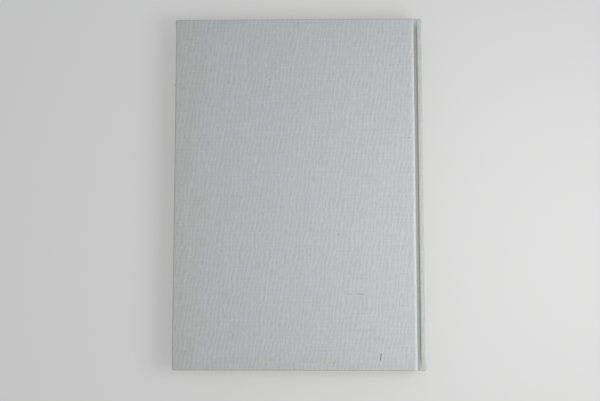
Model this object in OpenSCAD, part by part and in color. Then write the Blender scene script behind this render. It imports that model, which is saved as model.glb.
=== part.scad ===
// A case-bound book with a flat back, lying closed with its spine along +X and its head at +Y.

/* [Text block] */
// Width of a leaf, from the sewn fold to the trimmed fore edge
page_w = 147; // [110:0.5:190]
// Height of a leaf, from tail to head
page_h = 210; // [150:0.5:300]
// Thickness of all the leaves pressed together
pages_t = 9.8; // [6:0.1:30]
// Number of sewn sections
section_count = 12; // [6:1:20]
// Radius of each section's fold
fold_r = 0.3; // [0.1:0.05:0.35]
// Thickness of an endpaper
paper_t = 0.2; // [0.1:0.05:0.4]

/* [Covers] */
// Thickness of a cover board
board_t = 2.5; // [1.5:0.1:3.5]
// Thickness of the book cloth
cloth_t = 0.35; // [0.2:0.05:0.5]
// How far the covers stand past the leaves at head and tail
square_ends = 3.2; // [2:0.1:5]
// How far the covers stand past the leaves at the fore edge
square_fore = 3; // [1.5:0.1:6]
// Width of the cloth folded in over a board's inner face
turn_in = 15; // [10:0.5:20]
// Radius of a cover's rounded edges
arris_r = 0.75; // [0.6:0.05:1]
// Radius of a cover's fore corners
corner_r = 1.3; // [1:0.1:3]
// Width of the slit where two turn-ins meet at a corner
mitre_w = 0.15; // [0.05:0.05:0.4]

/* [Spine] */
// Thickness of the spine board
spine_board_t = 1.6; // [1:0.1:2.5]
// How far the spine stands past the covers at head and tail
spine_proud = 0.3; // [0.1:0.05:1]
// Radius of the spine's outer edges
ridge_r = 0.8; // [0.6:0.05:1]
// Radius of the spine's ends, seen from above
cap_r = 1.4; // [0.9:0.1:2]
// Air between the spine lining and the spine board
hollow_gap = 0.5; // [0.4:0.05:1.5]
// Thickness of the gauze over the back of the sections
super_t = 0.35; // [0.15:0.05:0.5]
// Width of the gauze glued to each board
super_flange = 25; // [15:1:40]
// Thickness of the paper lining over the gauze
lining_t = 0.2; // [0.1:0.05:0.3]
// How much narrower than the leaves the lining is on each side
lining_in = 0.3; // [0.1:0.1:1]

/* [Joint] */
// Width of the pressed groove between a cover and the spine
joint_w = 3.1; // [2.6:0.1:5]
// Depth of the fold line under the cover's outer face
hinge_depth = 2.3; // [2:0.1:2.6]
// Distance from the spine's face to the edge of a cover folded right back
swing_clear = 0.9; // [0.8:0.05:1.5]
// Least gap between the spine's edge and the cover swinging past it
ridge_gap = 0.59; // [0.3:0.01:0.75]

/* [Headbands] */
// Radius of a headband's bead
bead_r = 0.7; // [0.4:0.05:0.9]
// Thickness of a headband's tape
band_t = 0.3; // [0.1:0.05:0.4]
// Length of tape glued to the back of the sections
band_drop = 8; // [5:0.5:11]

/* [Hidden] */
$fn = 32;
arc_steps = 4;
// How far a cutting shape runs past the face that it opens
past = 1;
// Gap between the gauze's ends and the turn-ins
super_end_gap = 0.2;

cloth_colour = "#a9adaf";
paper_colour = "#efeadd";
board_colour = "#9b9183";
gauze_colour = "#dcd8cb";
kraft_colour = "#b89b73";
band_colour = "#d8d2c4";

// The layer under each board holds the turn-ins and the gauze
layer_t = max(cloth_t, super_t);
cover_t = cloth_t + board_t + layer_t + paper_t;
book_t = 2 * (cover_t + paper_t) + pages_t;
cover_h = page_h + 2 * square_ends;
spine_h = cover_h + 2 * spine_proud;
ridge_w = spine_board_t + 2 * cloth_t;
book_w = square_fore + page_w + super_t + lining_t + hollow_gap + spine_board_t + cloth_t;

// Heights in the upper cover, from its outer face down
board_top = book_t - cloth_t;
board_z = board_top - board_t;
turn_z = board_z - cloth_t;
paste_top = board_z - layer_t;
paste_z = paste_top - paper_t;
fly_z = paste_z - paper_t;
pages_z = cover_t + paper_t;

// Stations from the fore edge to the spine's face
fore_x = -book_w / 2;
pages_x = fore_x + square_fore;
back_x = pages_x + page_w;
gauze_x = back_x + super_t;
lining_x = gauze_x + lining_t;
spine_x = book_w / 2;
ridge_x = spine_x - ridge_w;
edge_x = ridge_x - joint_w;
window_x = fore_x + turn_in;
window_y = cover_h / 2 - turn_in;
flange_x = edge_x - super_flange;
super_h = 2 * (window_y - super_end_gap);

// The fold line lies so that the opened cover's edge clears the spine's face
swing_r = (joint_w + ridge_w + swing_clear) / 2;
hinge_z = book_t - hinge_depth;
ridge_rise = sqrt(pow(swing_r - ridge_gap - ridge_r, 2) - pow(swing_r - swing_clear - ridge_r, 2));
ridge_top = hinge_z + ridge_rise + ridge_r;

section_t = pages_t / section_count;
section_r = min(fold_r, 0.45 * section_t);

function unit(v) = v / norm(v);

function turned(v, angle) = [
    v.x * cos(angle) - v.y * sin(angle),
    v.x * sin(angle) + v.y * cos(angle)
];

// Points of an arc about a centre
function arc(centre, r, from, to) = [
    for (i = [0:arc_steps]) centre + turned([r, 0], from + (to - from) * i / arc_steps)
];

// Points that round the corner p, between its neighbours a and b
function corner(a, p, b, r) = r <= 0 ? [p] : let (
    u = unit(a - p),
    v = unit(b - p),
    half = acos(u * v) / 2,
    centre = p + unit(u + v) * r / sin(half),
    first = p + u * r / tan(half) - centre,
    sweep = (cross(u, v) < 0 ? 1 : -1) * (180 - 2 * half)
) [for (i = [0:arc_steps]) centre + turned(first, sweep * i / arc_steps)];

// An outline from corners given as [x, y, radius]
function outline(corners) = let (n = len(corners), at = [for (c = corners) [c.x, c.y]]) [
    for (i = [0:n - 1]) each corner(at[(i + n - 1) % n], at[i], at[(i + 1) % n], corners[i].z)
];

// A corner list seen again in the book's middle plane, in reverse order
function with_mirror(corners) = concat(
    corners,
    [for (i = [len(corners) - 1:-1:0]) [corners[i].x, book_t - corners[i].y, corners[i].z]]
);

module along_x(from, to) {
    translate([from, 0, 0]) rotate([90, 0, 90]) linear_extrude(to - from) children();
}

module along_y(length) {
    rotate([90, 0, 0]) linear_extrude(length, center = true) children();
}

module along_z(from, to) {
    translate([0, 0, from]) linear_extrude(to - from) children();
}

module box(x0, x1, depth, z0, z1) {
    translate([x0, -depth / 2, z0]) cube([x1 - x0, depth, z1 - z0]);
}

module lower() {
    translate([0, 0, book_t]) mirror([0, 0, 1]) children();
}

// A block with rounded edges and corners: a section, a side view and a plan that meet
module pillow(x0, x1, depth, z0, z1, r_fore, r_spine, r_low_spine, r_plan_fore, r_plan_spine) {
    y = depth / 2;
    intersection() {
        along_y(depth) polygon(outline([
            [x0, z0, r_fore], [x1, z0, r_low_spine], [x1, z1, r_spine], [x0, z1, r_fore]
        ]));
        along_x(x0, x1) polygon(outline([
            [-y, z0, r_fore], [y, z0, r_fore], [y, z1, r_fore], [-y, z1, r_fore]
        ]));
        along_z(z0, z1) polygon(outline([
            [x0, -y, r_plan_fore], [x1, -y, r_plan_spine], [x1, y, r_plan_spine], [x0, y, r_plan_fore]
        ]));
    }
}

// The upper cover's form, drawn in by a thickness
module cover_form(inset, z0, z1) {
    r = arris_r - inset;
    pillow(fore_x + inset, edge_x - inset, cover_h - 2 * inset, z0, z1, r, r, 0, corner_r - inset, r);
}

// The spine's form, drawn in by a thickness
module spine_form(inset) {
    r_out = ridge_r - inset;
    r_in = ridge_r - cloth_t - inset / 2;
    z0 = book_t - ridge_top + inset;
    z1 = ridge_top - inset;
    y = spine_h / 2 - inset;
    x0 = ridge_x + inset;
    x1 = spine_x - inset;
    r_cap = cap_r - inset;
    intersection() {
        along_y(2 * y) polygon(outline([
            [x0, z0, r_in], [x1, z0, r_out], [x1, z1, r_out], [x0, z1, r_in]
        ]));
        along_x(x0, x1) polygon(outline([
            [-y, z0, r_out], [y, z0, r_out], [y, z1, r_out], [-y, z1, r_out]
        ]));
        along_z(z0, z1) polygon(outline([
            [x0, -y, r_in], [x1, -y, r_cap], [x1, y, r_cap], [x0, y, r_in]
        ]));
    }
}

// Leaves in folded sections, trimmed flat on three sides and rounded at each fold
module text_block() {
    folds = [
        for (i = [0:section_count - 1])
            let (z0 = pages_z + i * section_t, z1 = z0 + section_t, x = back_x - section_r)
                each concat(
                    arc([x, z0 + section_r], section_r, -90, 0),
                    arc([x, z1 - section_r], section_r, 0, 90)
                )
    ];
    color(paper_colour) along_y(page_h)
        polygon(concat([[pages_x, pages_z + pages_t], [pages_x, pages_z]], folds));
}

// The free half of an endpaper, with the fold that passes under the joint
module flyleaf() {
    color(paper_colour) along_y(page_h) polygon(outline([
        [pages_x, fly_z, 0], [back_x, fly_z, 0], [back_x, paste_top, paper_t],
        [edge_x, paste_top, 0], [edge_x, paste_z, 0], [pages_x, paste_z, 0]
    ]));
}

module back_flyleaf() {
    flyleaf();
}

module front_flyleaf() {
    lower() flyleaf();
}

// The glued half of an endpaper: it drops off the turn-ins and the gauze onto the bare board
module pastedown() {
    color(paper_colour) difference() {
        union() {
            box(pages_x, edge_x, page_h, paste_z, paste_top);
            box(window_x, flange_x, 2 * window_y, paste_z, board_z);
        }
        box(window_x + paper_t, flange_x - paper_t, 2 * (window_y - paper_t), paste_z - past,
            board_z - paper_t);
    }
}

module back_pastedown() {
    pastedown();
}

module front_pastedown() {
    lower() pastedown();
}

// Gauze over the back of the sections, turned onto both joints
module super() {
    color(gauze_colour) along_y(super_h) polygon(outline(with_mirror([
        [back_x, board_z - super_t, 0], [edge_x, board_z - super_t, 0], [edge_x, board_z, 0],
        [gauze_x, board_z, super_t]
    ])));
}

module super_flange_sheet() {
    color(gauze_colour) box(flange_x, edge_x, super_h, board_z - super_t, board_z);
}

module back_super_flange() {
    super_flange_sheet();
}

module front_super_flange() {
    lower() super_flange_sheet();
}

module spine_lining() {
    color(kraft_colour) box(gauze_x, lining_x, super_h, pages_z + lining_in, pages_z + pages_t - lining_in);
}

// A bead over the end of the sections on a tape glued to their back
module end_band() {
    top = page_h / 2 + bead_r;
    low = cover_t;
    high = book_t - cover_t;
    color(band_colour) {
        translate([back_x + band_t - bead_r, top, low]) cylinder(h = high - low, r = bead_r);
        translate([back_x, page_h / 2 - band_drop, low]) cube([band_t, band_drop + bead_r, high - low]);
    }
}

module head_band() {
    end_band();
}

module tail_band() {
    mirror([0, 1, 0]) end_band();
}

module spine_board() {
    color(board_colour) spine_form(cloth_t);
}

// Cloth over the spine board and down into both joints, folded in at head and tail
module spine_cloth() {
    floor_top = board_z + cloth_t;
    color(cloth_colour) difference() {
        union() {
            spine_form(0);
            along_y(cover_h) joint_section(board_z, floor_top);
            lower() along_y(cover_h) joint_section(board_z, floor_top);
            for (side = [-1, 1]) {
                translate([0, side * (cover_h - turn_in) / 2, 0]) {
                    box(edge_x, ridge_x + cloth_t, turn_in, turn_z, board_z);
                    lower() box(edge_x, ridge_x + cloth_t, turn_in, turn_z, board_z);
                }
            }
        }
        spine_form(cloth_t);
        box(ridge_x - past, ridge_x + cloth_t, spine_h - 2 * turn_in, book_t - board_z, board_z);
    }
}

// The groove's floor, turned up against the spine
module joint_section(z0, z1) {
    polygon(outline([
        [edge_x, z0, 0], [ridge_x + cloth_t, z0, 0], [ridge_x + cloth_t, z1 + cloth_t, 0],
        [ridge_x, z1 + cloth_t, 0], [ridge_x, z1, cloth_t], [edge_x, z1, 0]
    ]));
}

module cover_board() {
    color(board_colour) cover_form(cloth_t, board_z, board_top);
}

module back_board() {
    cover_board();
}

module front_board() {
    lower() cover_board();
}

// Cloth over a board's outer face and edges, with three turn-ins mitred at the fore corners
module cover_cloth() {
    slit_start = 2 * corner_r;
    color(cloth_colour) difference() {
        cover_form(0, turn_z, book_t);
        cover_form(cloth_t, board_z, board_top);
        box(window_x, edge_x + past, 2 * window_y, turn_z - past, board_z);
        for (side = [-1, 1]) {
            translate([fore_x, side * cover_h / 2, turn_z - past]) rotate(-side * 45)
                translate([slit_start, -mitre_w / 2, 0])
                    cube([turn_in * sqrt(2) + mitre_w - slit_start, mitre_w, past + cloth_t]);
        }
    }
}

module back_cover_cloth() {
    cover_cloth();
}

module front_cover_cloth() {
    lower() cover_cloth();
}

text_block();
back_flyleaf();
front_flyleaf();
super();
spine_lining();
head_band();
tail_band();
spine_board();
spine_cloth();
back_board();
back_cover_cloth();
back_super_flange();
back_pastedown();
front_board();
front_cover_cloth();
front_super_flange();
front_pastedown();
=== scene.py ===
"""A cloth-bound hardback book with a flat back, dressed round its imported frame."""

import logging
import math
from abc import ABC, abstractmethod
from collections.abc import Callable, Iterator
from contextlib import contextmanager
from dataclasses import dataclass, field
from enum import Enum

import bmesh
import bpy
from mathutils import Euler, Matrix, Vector, noise


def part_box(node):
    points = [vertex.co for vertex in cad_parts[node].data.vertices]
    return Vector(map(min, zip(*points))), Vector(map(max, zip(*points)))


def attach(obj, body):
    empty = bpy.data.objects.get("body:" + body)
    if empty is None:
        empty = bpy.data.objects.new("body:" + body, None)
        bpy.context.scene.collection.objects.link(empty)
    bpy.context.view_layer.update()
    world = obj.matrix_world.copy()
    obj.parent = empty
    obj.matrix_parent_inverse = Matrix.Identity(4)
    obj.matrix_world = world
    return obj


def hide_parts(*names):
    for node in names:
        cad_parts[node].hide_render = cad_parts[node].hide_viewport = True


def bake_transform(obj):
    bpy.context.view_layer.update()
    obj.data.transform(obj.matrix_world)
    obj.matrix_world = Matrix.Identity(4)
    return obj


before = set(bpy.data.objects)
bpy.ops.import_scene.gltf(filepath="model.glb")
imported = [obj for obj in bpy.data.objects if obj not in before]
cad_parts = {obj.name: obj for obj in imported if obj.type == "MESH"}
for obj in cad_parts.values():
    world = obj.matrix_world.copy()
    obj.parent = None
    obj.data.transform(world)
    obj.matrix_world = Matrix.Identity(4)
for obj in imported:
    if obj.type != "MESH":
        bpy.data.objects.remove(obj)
LOG = logging.getLogger("hardback_book")

MM = 0.001
# How far off a plane a point may lie and still count as on it
NEAR = 0.02 * MM
# How near to each other two points merge
WELD = NEAR / 10
ORIGIN = (0.0, 0.0, 0.0)
FLAT_MAP = "weave"

Triple = tuple[float, float, float]
Colour = Triple
Span = tuple[float, float]
Box = tuple[Vector, Vector]
Socket = bpy.types.NodeSocket
Test = Callable[[list[Vector]], bool]


class Side(Enum):
    """The two covers, by the way their outer faces look."""

    BACK = 1
    FRONT = -1

    @property
    def body(self) -> str:
        """The frame's body that this cover is."""
        return "back_cover" if self is Side.BACK else "front_cover"

    @property
    def word(self) -> str:
        """The cover's name, as piece and node names begin."""
        return "back" if self is Side.BACK else "front"


# Modelling helpers


def select_only(piece: bpy.types.Object) -> None:
    """Select a piece and nothing else, and make it the active one."""
    bpy.ops.object.select_all(action="DESELECT")
    bpy.context.view_layer.objects.active = piece
    piece.select_set(True)


@contextmanager
def editing(piece: bpy.types.Object) -> Iterator[None]:
    """Open a piece in edit mode with nothing selected, and close it afterwards.

    Args:
        piece: The object to edit.
    """
    select_only(piece)
    bpy.ops.object.mode_set(mode="EDIT")
    bpy.ops.mesh.select_all(action="DESELECT")
    yield
    bpy.ops.object.mode_set(mode="OBJECT")


def pick(piece: bpy.types.Object, test: Test) -> None:
    """Select the faces whose points pass a test, and nothing else.

    Args:
        piece: The object in edit mode.
        test: Called with a face's points.
    """
    bpy.ops.mesh.select_all(action="DESELECT")
    bpy.ops.mesh.select_mode(type="FACE")
    mesh = bmesh.from_edit_mesh(piece.data)
    for face in mesh.faces:
        if test([vertex.co for vertex in face.verts]):
            face.select_set(True)
    mesh.select_flush_mode()
    bmesh.update_edit_mesh(piece.data)


def at(points: list[Vector], **planes: float) -> bool:
    """Tell whether all points lie on each of the planes given as x, y or z."""
    return all(abs(getattr(p, axis) - value) < NEAR
               for axis, value in planes.items() for p in points)


def within(points: list[Vector], **spans: Span) -> bool:
    """Tell whether all points lie in each of the spans given as x, y or z."""
    return all(low - NEAR < getattr(p, axis) < high + NEAR
               for axis, (low, high) in spans.items() for p in points)


def extrude(x: float = 0.0, y: float = 0.0, z: float = 0.0) -> None:
    """Extrude the selected edges or faces by a vector."""
    bpy.ops.mesh.extrude_region_move(TRANSFORM_OT_translate={"value": (x, y, z)})


def cut(axis: str, *values: float) -> None:
    """Cut the whole edited mesh with planes across an axis, at each of the values."""
    normal = {"x": (1, 0, 0), "y": (0, 1, 0), "z": (0, 0, 1)}[axis]
    for value in values:
        bpy.ops.mesh.select_all(action="SELECT")
        bpy.ops.mesh.bisect(plane_co=[n * value for n in normal], plane_no=normal, threshold=WELD)


def stations(low: float, high: float, count: int) -> list[float]:
    """Give evenly spaced values from low to high, both included."""
    return [low + (high - low) * i / (count - 1) for i in range(count)]


def apply(piece: bpy.types.Object, kind: str, **settings: object) -> None:
    """Add a modifier with the given settings and apply it."""
    modifier = piece.modifiers.new(kind.lower(), kind)
    for name, value in settings.items():
        setattr(modifier, name, value)
    select_only(piece)
    bpy.ops.object.modifier_apply(modifier=modifier.name)


def thicken(piece: bpy.types.Object, thickness: float, reach: float = 1.5) -> None:
    """Give a sheet its thickness inwards, and draw in the points that a sharp fold throws too far.

    Args:
        piece: The sheet, its outer side in place.
        thickness: The sheet's thickness.
        reach: How many thicknesses an inner point may lie from its outer one.
    """
    count = len(piece.data.vertices)
    apply(piece, "SOLIDIFY", thickness=thickness, offset=-1.0, use_even_offset=True)
    vertices = piece.data.vertices
    for outer, inner in zip(vertices[:count], vertices[count:]):
        step = inner.co - outer.co
        if step.length > reach * thickness:
            inner.co = outer.co + step.normalized() * reach * thickness


def smooth(piece: bpy.types.Object, angle: float = 35.0) -> None:
    """Shade a piece smooth, apart from edges sharper than an angle in degrees."""
    select_only(piece)
    bpy.ops.object.shade_smooth_by_angle(angle=math.radians(angle))


def surface(piece: bpy.types.Object, finish: bpy.types.Material, angle: float = 35.0) -> None:
    """Shade a piece smooth, as smooth does, and give it its finish."""
    smooth(piece, angle)
    piece.data.materials.append(finish)


def ease(value: float, low: float, high: float) -> float:
    """Rise softly from 0 at the low value to 1 at the high one."""
    share = min(max((value - low) / (high - low), 0.0), 1.0)
    return share * share * (3 - 2 * share)


def fix_place(name: str, size: Vector) -> bpy.types.Object:
    """Name the primitive that was just added, stretch it and put its place in its mesh."""
    piece = bpy.context.object
    piece.name = name
    piece.scale = size
    bpy.ops.object.transform_apply(location=True, rotation=True, scale=True)
    return piece


def sheet_plane(name: str, low: Vector, high: Vector, z: float) -> bpy.types.Object:
    """Add a level rectangle.

    Args:
        name: The new piece's name.
        low: Its lowest x and y.
        high: Its highest x and y.
        z: Its height.

    Returns:
        The piece, with its place in its mesh.
    """
    bpy.ops.object.select_all(action="DESELECT")
    bpy.ops.mesh.primitive_plane_add(size=1, location=((low.x + high.x) / 2, (low.y + high.y) / 2, z))
    return fix_place(name, Vector((high.x - low.x, high.y - low.y, 1)))


def box_block(name: str, low: Vector, high: Vector) -> bpy.types.Object:
    """Add a box between two corners, with its place in its mesh."""
    bpy.ops.object.select_all(action="DESELECT")
    bpy.ops.mesh.primitive_cube_add(size=1, location=(low + high) / 2)
    return fix_place(name, high - low)


def turn_over(piece: bpy.types.Object, middle: float) -> None:
    """Mirror a piece's mesh in the level plane at a height, with its faces still outward."""
    for vertex in piece.data.vertices:
        vertex.co.z = 2 * middle - vertex.co.z
    piece.data.flip_normals()


def flat_map(piece: bpy.types.Object) -> None:
    """Give a level sheet its flat map, in metres, under the name that the cloths use."""
    mesh = piece.data
    layer = mesh.uv_layers.new(name=FLAT_MAP)
    for loop in mesh.loops:
        co = mesh.vertices[loop.vertex_index].co
        layer.data[loop.index].uv = (co.x, co.y)


def shaded(colour: Colour, share: float) -> Colour:
    """Give a darker shade of a colour."""
    return tuple(share * c for c in colour)


# The book's sizes, from the frame


def box_of(node: str) -> Box:
    """Make a size that is the box of a node of the frame."""
    return field(default_factory=lambda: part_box(node))


@dataclass
class Sizes:
    """Where the book's pieces lie, in metres, for the cover that looks up."""

    cover: Box = box_of("back_cover_cloth")
    board: Box = box_of("back_board")
    spine: Box = box_of("spine_cloth")
    spine_board: Box = box_of("spine_board")
    flyleaf: Box = box_of("back_flyleaf")
    pastedown: Box = box_of("back_pastedown")
    leaves: Box = box_of("text_block")
    gauze: Box = box_of("super")
    flange: Box = box_of("back_super_flange")
    head_band: Box = box_of("head_band")
    turn_in: float = 15 * MM

    @property
    def top(self) -> float:
        """The book's thickness."""
        return self.cover[1].z

    @property
    def middle(self) -> float:
        """Half the book's thickness."""
        return self.top / 2

    @property
    def cloth(self) -> float:
        """The cloth's thickness."""
        return self.cover[1].z - self.board[1].z

    @property
    def edge(self) -> float:
        """The cover's edge beside the groove."""
        return self.cover[1].x

    @property
    def ridge(self) -> float:
        """The spine's wall beside the groove."""
        return self.spine_board[0].x - self.cloth

    @property
    def floor(self) -> float:
        """The top of the groove's floor."""
        return self.board[0].z + self.cloth

    @property
    def shoulder(self) -> float:
        """Where the leaves' back edge meets the joint."""
        return self.leaves[1].x

    @property
    def spine_line(self) -> float:
        """The middle of the spine on the unfolded cloth, which lies as the back cover does."""
        drop, climb = self.top - self.floor, self.spine[1].z - self.floor
        return self.spine[1].x + drop + climb + self.spine[1].z - self.middle


def bend_in_joint(piece: bpy.types.Object) -> None:
    """Put a piece's place into its mesh; the piece is neither hung on the frame nor bent here."""
    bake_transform(piece)


# Shader node helpers


class Graph:
    """A shader tree with short ways to add and link nodes."""

    def __init__(self, tree: bpy.types.NodeTree) -> None:
        """Keep the tree that nodes are added to."""
        self.tree = tree

    def add(self, kind: str, **settings: object) -> bpy.types.Node:
        """Add a node and set its properties."""
        node = self.tree.nodes.new(kind)
        for name, value in settings.items():
            setattr(node, name, value)
        return node

    def link(self, source: object, target: object) -> None:
        """Link an output to an input, or set the input where the source is a value."""
        if isinstance(source, bpy.types.NodeSocket):
            self.tree.links.new(source, target)
        else:
            target.default_value = source

    def fill(self, node: bpy.types.Node, **values: object) -> None:
        """Link or set a node's inputs by name, spaces written as underscores."""
        for name, value in values.items():
            self.link(value, node.inputs[name.replace("_", " ")])

    def math(self, operation: str, *values: object, clamp: bool = False) -> Socket:
        """Add a Math node and return its output."""
        node = self.add("ShaderNodeMath", operation=operation, use_clamp=clamp)
        for value, target in zip(values, node.inputs):
            self.link(value, target)
        return node.outputs[0]

    def varied(self, base: object, pattern: object, reach: object) -> Socket:
        """Move a value up and down by a pattern that is 0.5 on average."""
        return self.math("MULTIPLY_ADD", self.math("SUBTRACT", pattern, 0.5), reach, base)

    def vector(self, operation: str, *values: object) -> Socket:
        """Add a Vector Math node and return its vector, or its value where it makes one."""
        node = self.add("ShaderNodeVectorMath", operation=operation)
        for value, target in zip(values, node.inputs):
            self.link(value, target)
        return node.outputs["Value" if operation in {"LENGTH", "DOT_PRODUCT"} else "Vector"]

    def scale(self, vector: object, factor: object) -> Socket:
        """Make a vector longer or shorter by a factor."""
        node = self.add("ShaderNodeVectorMath", operation="SCALE")
        self.link(vector, node.inputs[0])
        self.link(factor, node.inputs["Scale"])
        return node.outputs["Vector"]

    def axes(self, vector: object) -> tuple[Socket, Socket, Socket]:
        """Split a vector into its x, y and z."""
        node = self.add("ShaderNodeSeparateXYZ")
        self.link(vector, node.inputs[0])
        return tuple(node.outputs)

    def noise(self, vector: object, scale: float, detail: float = 2.0, rough: float = 0.5,
              output: str = "Fac") -> Socket:
        """Add a Noise texture and return its value, about 0.5 on average, or its colour."""
        node = self.add("ShaderNodeTexNoise")
        self.fill(node, Vector=vector, Scale=scale, Detail=detail, Roughness=rough)
        return node.outputs[output]

    def grain(self, vector: object, scales: Triple, detail: float = 2.0) -> Socket:
        """Add a Noise texture with a scale of its own along each axis."""
        return self.noise(self.vector("MULTIPLY", vector, scales), 1.0, detail)

    def shaken(self, vector: object, scale: float, reach: float) -> Socket:
        """Move a place about at random, by up to about half the reach each way."""
        off = self.vector("SUBTRACT", self.noise(vector, scale, output="Color"), (0.5, 0.5, 0.5))
        return self.vector("MULTIPLY_ADD", off, (reach, reach, 0.0), vector)

    def ramp(self, value: object, span: tuple[object, object], to: Span = (0.0, 1.0)) -> Socket:
        """Map a span of values softly to another span, clamped."""
        node = self.add("ShaderNodeMapRange", interpolation_type="SMOOTHSTEP")
        self.fill(node, Value=value, From_Min=span[0], From_Max=span[1], To_Min=to[0], To_Max=to[1])
        return node.outputs["Result"]

    def past(self, value: object, start: float, span: Span, to: Span = (0.0, 1.0)) -> Socket:
        """Map a span of values that is measured from a start, as ramp does."""
        return self.ramp(value, (start + span[0], start + span[1]), to)

    def mix(self, share: object, a: object, b: object, blend: str = "MIX") -> Socket:
        """Mix two colours."""
        node = self.add("ShaderNodeMix", data_type="RGBA", blend_type=blend)
        return self._mixed(node, "Color", share, *((*c, 1) if isinstance(c, tuple) else c for c in (a, b)))

    def between(self, share: object, a: object, b: object) -> Socket:
        """Mix two values."""
        return self._mixed(self.add("ShaderNodeMix", data_type="FLOAT"), "Float", share, a, b)

    def _mixed(self, node: bpy.types.Node, kind: str, share: object, a: object, b: object) -> Socket:
        """Link the sockets of one kind of a Mix node, and return its result of that kind."""
        for identifier, source in (("Factor_Float", share), (f"A_{kind}", a), (f"B_{kind}", b)):
            self.link(source, next(s for s in node.inputs if s.identifier == identifier))
        return next(s for s in node.outputs if s.identifier == f"Result_{kind}")

    def grey(self, value: object) -> Socket:
        """Turn a value into a grey colour."""
        node = self.add("ShaderNodeCombineColor")
        for target in node.inputs[:3]:
            self.link(value, target)
        return node.outputs[0]


def new_group(name: str, inputs: dict[str, object], outputs: tuple[str, ...]) -> tuple[Graph, dict, dict]:
    """Start a shader node group.

    Args:
        name: The group's name.
        inputs: Each input's name and its default, a number or a vector.
        outputs: The outputs' names, each for a number.

    Returns:
        The group's graph, its inputs by name, and its outputs by name.
    """
    tree = bpy.data.node_groups.new(name, "ShaderNodeTree")
    for key, value in inputs.items():
        kind = "NodeSocketFloat" if isinstance(value, float) else "NodeSocketVector"
        socket = tree.interface.new_socket(name=key, in_out="INPUT", socket_type=kind)
        socket.default_value = value
    for key in outputs:
        tree.interface.new_socket(name=key, in_out="OUTPUT", socket_type="NodeSocketFloat")
    graph = Graph(tree)
    inside = graph.add("NodeGroupInput")
    outside = graph.add("NodeGroupOutput")
    return graph, {k: inside.outputs[k] for k in inputs}, {k: outside.inputs[k] for k in outputs}


def use_group(graph: Graph, name: str, **values: object) -> bpy.types.Node:
    """Place a shader node group, with its inputs set by name, spaces written as underscores."""
    node = graph.add("ShaderNodeGroup", node_tree=bpy.data.node_groups[name])
    graph.fill(node, **values)
    return node


# Shared effects, whose bare scales are per metre


def plain_weave_group() -> None:
    """Build the plain weave: one thread over, one under, with wandering threads."""
    g, given, made = new_group(
        "plain_weave",
        {"Vector": ORIGIN, "Warp Pitch": 0.5 * MM, "Weft Pitch": 0.5 * MM, "Wander": 0.72},
        ("Height", "Thickness"),
    )
    drift_across, drift_along = 900.0, 110.0
    slub_across, slub_along = 1500.0, 40.0
    fuzz_scale, fuzz_span, fuzz_heights = 8000.0, (0.3, 0.7), (0.86, 1.0)
    x, y, _ = g.axes(given["Vector"])

    def across(axis: Socket, pitch: str, drift: Triple) -> Socket:
        """Give 1 or -1 on each thread's middle and 0 between threads."""
        threads = g.math("DIVIDE", axis, given[pitch])
        count = g.varied(threads, g.grain(given["Vector"], drift), given["Wander"])
        return g.math("COSINE", g.math("MULTIPLY", count, math.pi))

    def rise(own: Socket, other: Socket, sign: int) -> Socket:
        """Give a thread's height, round across it and high where it passes over the other."""
        over = g.math("MULTIPLY_ADD", g.math("MULTIPLY", g.math("SIGN", own), other), sign * 0.5, 0.5)
        return g.math("MULTIPLY", g.math("SQRT", g.math("ABSOLUTE", own)), g.math("SQRT", over))

    warp_place = across(x, "Warp Pitch", (drift_across, drift_along, 1.0))
    weft_place = across(y, "Weft Pitch", (drift_along, drift_across, 1.0))
    warp = rise(warp_place, weft_place, 1)
    weft = rise(weft_place, warp_place, -1)
    slub_warp = g.grain(given["Vector"], (slub_across, slub_along, 1.0), detail=3.0)
    slub_weft = g.grain(given["Vector"], (slub_along, slub_across, 1.0), detail=3.0)
    fuzz = g.ramp(g.noise(given["Vector"], fuzz_scale), fuzz_span, fuzz_heights)
    g.link(g.math("MULTIPLY", g.math("MAXIMUM", warp, weft), fuzz), made["Height"])
    g.link(g.between(g.math("GREATER_THAN", warp, weft), slub_weft, slub_warp), made["Thickness"])


def streaks_group() -> None:
    """Build the long faint streaks where thick and thin threads lie in turn.

    The streaks come about evenly, but they wander, fade and break off. Their noises have the period
    and the length as units.
    """
    g, given, made = new_group(
        "streaks",
        {"Vector": ORIGIN, "Period": 2.5 * MM, "Length": 4.2 * MM, "Lean": 0.0},
        ("Shade",),
    )
    wander_scales, wander_reach = (0.4, 0.35, 1.0), 1.3
    patch_scales, patch_start = (0.45, 1.1, 1.0), (7.3, 2.9, 0.0)
    patch_span, patch_strengths = (0.3, 0.62), (0.15, 1.0)
    broken_scales, broken_share = (3.2, 1.2, 1.0), 1.1
    wave_share = 0.22
    turned = g.add("ShaderNodeVectorRotate", rotation_type="Z_AXIS")
    g.fill(turned, Vector=given["Vector"], Angle=given["Lean"])
    units = g.add("ShaderNodeCombineXYZ")
    for name, target in zip(("Period", "Length"), units.inputs):
        g.link(g.math("DIVIDE", 1.0, given[name]), target)
    place = g.vector("MULTIPLY", turned.outputs[0], units.outputs[0])
    wander = g.grain(place, wander_scales, detail=0.0)
    phase = g.math("MULTIPLY_ADD", wander, wander_reach, g.axes(place)[0])
    wave = g.math("SINE", g.math("MULTIPLY", phase, 2 * math.pi))
    patch = g.noise(g.vector("MULTIPLY_ADD", place, patch_scales, patch_start), 1.0, detail=1.0)
    strength = g.ramp(patch, patch_span, patch_strengths)
    even = g.math("MULTIPLY_ADD", g.math("MULTIPLY", wave, strength), wave_share, 0.5)
    g.link(g.varied(even, g.grain(place, broken_scales), broken_share), made["Shade"])


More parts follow.
